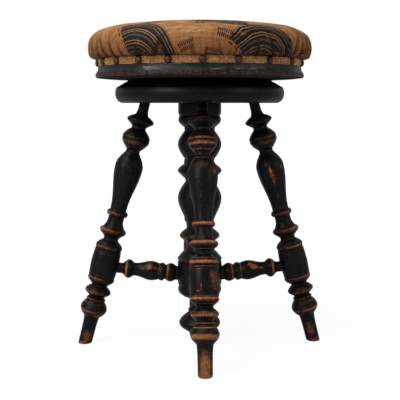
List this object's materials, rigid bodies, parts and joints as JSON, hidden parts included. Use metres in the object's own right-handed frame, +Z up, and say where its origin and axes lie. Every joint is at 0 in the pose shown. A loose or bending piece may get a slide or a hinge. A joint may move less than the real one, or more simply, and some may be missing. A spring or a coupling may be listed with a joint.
{
  "type": "revolving piano stool",
  "caption": "Four-legged turned wooden stool with a round upholstered seat that turns on an iron screw to set its height.",
  "frame": {"origin": "on the floor, on the stool's own axis", "axes": "+Z up along the screw, -Y towards the front leg, +X towards the right leg"},
  "size_m": [0.3932, 0.3932, 0.5085],
  "materials": {
    "ebonised_wood": "ebonised beech, satin, worn to orange-brown along the crests of the turnings",
    "rim_wood": "ebonised and polished, slate grey with white streaks of light, lower bead worn dark red-brown",
    "cast_iron": "dull, oiled",
    "screw_steel": "turned and greased, browned with age",
    "washer_leather": "dark, compressed",
    "horsehair": "curled hair, packed",
    "hessian": "coarse plain weave",
    "cover_fabric": "silky tan furnishing cloth with fine slubs, black curved stripes and rows of dashes",
    "braid_fabric": "khaki gimp braid in a herringbone weave",
    "nail_brass": "antique bronze, dull, with worn crowns"
  },
  "bodies": {
    "base": {"base_top": "ebonised_wood", "centre_column": "ebonised_wood", "leg_front": "ebonised_wood", "leg_right": "ebonised_wood", "leg_back": "ebonised_wood", "leg_left": "ebonised_wood", "stretcher_front": "ebonised_wood", "stretcher_right": "ebonised_wood", "stretcher_back": "ebonised_wood", "stretcher_left": "ebonised_wood", "nut_plate": "cast_iron", "nut_plate_screws": "screw_steel"},
    "washer": {"stop_washer": "washer_leather"},
    "seat": {"screw_spindle": "screw_steel", "seat_plate": "cast_iron", "seat_plate_screws": "screw_steel", "seat_board": "rim_wood", "stuffing": "horsehair", "stuffing_cloth": "hessian", "seat_cover": "cover_fabric", "gimp_braid": "braid_fabric", "upholstery_nails": "nail_brass"}
  },
  "joints": [
    {"name": "seat_rise", "type": "slide", "parent": "base", "child": "washer", "axis": [0, 0, 1], "range_m": [0, 0.12]},
    {"name": "seat_spin", "type": "hinge", "parent": "washer", "child": "seat", "pos_m": [0, 0, 0], "axis": [0, 0, 1], "range_deg": [0, 5400]}
  ],
  "couplings": [
    {"joint": "seat_rise", "follows": "seat_spin", "m_per_rad": 0.0012732}
  ]
}
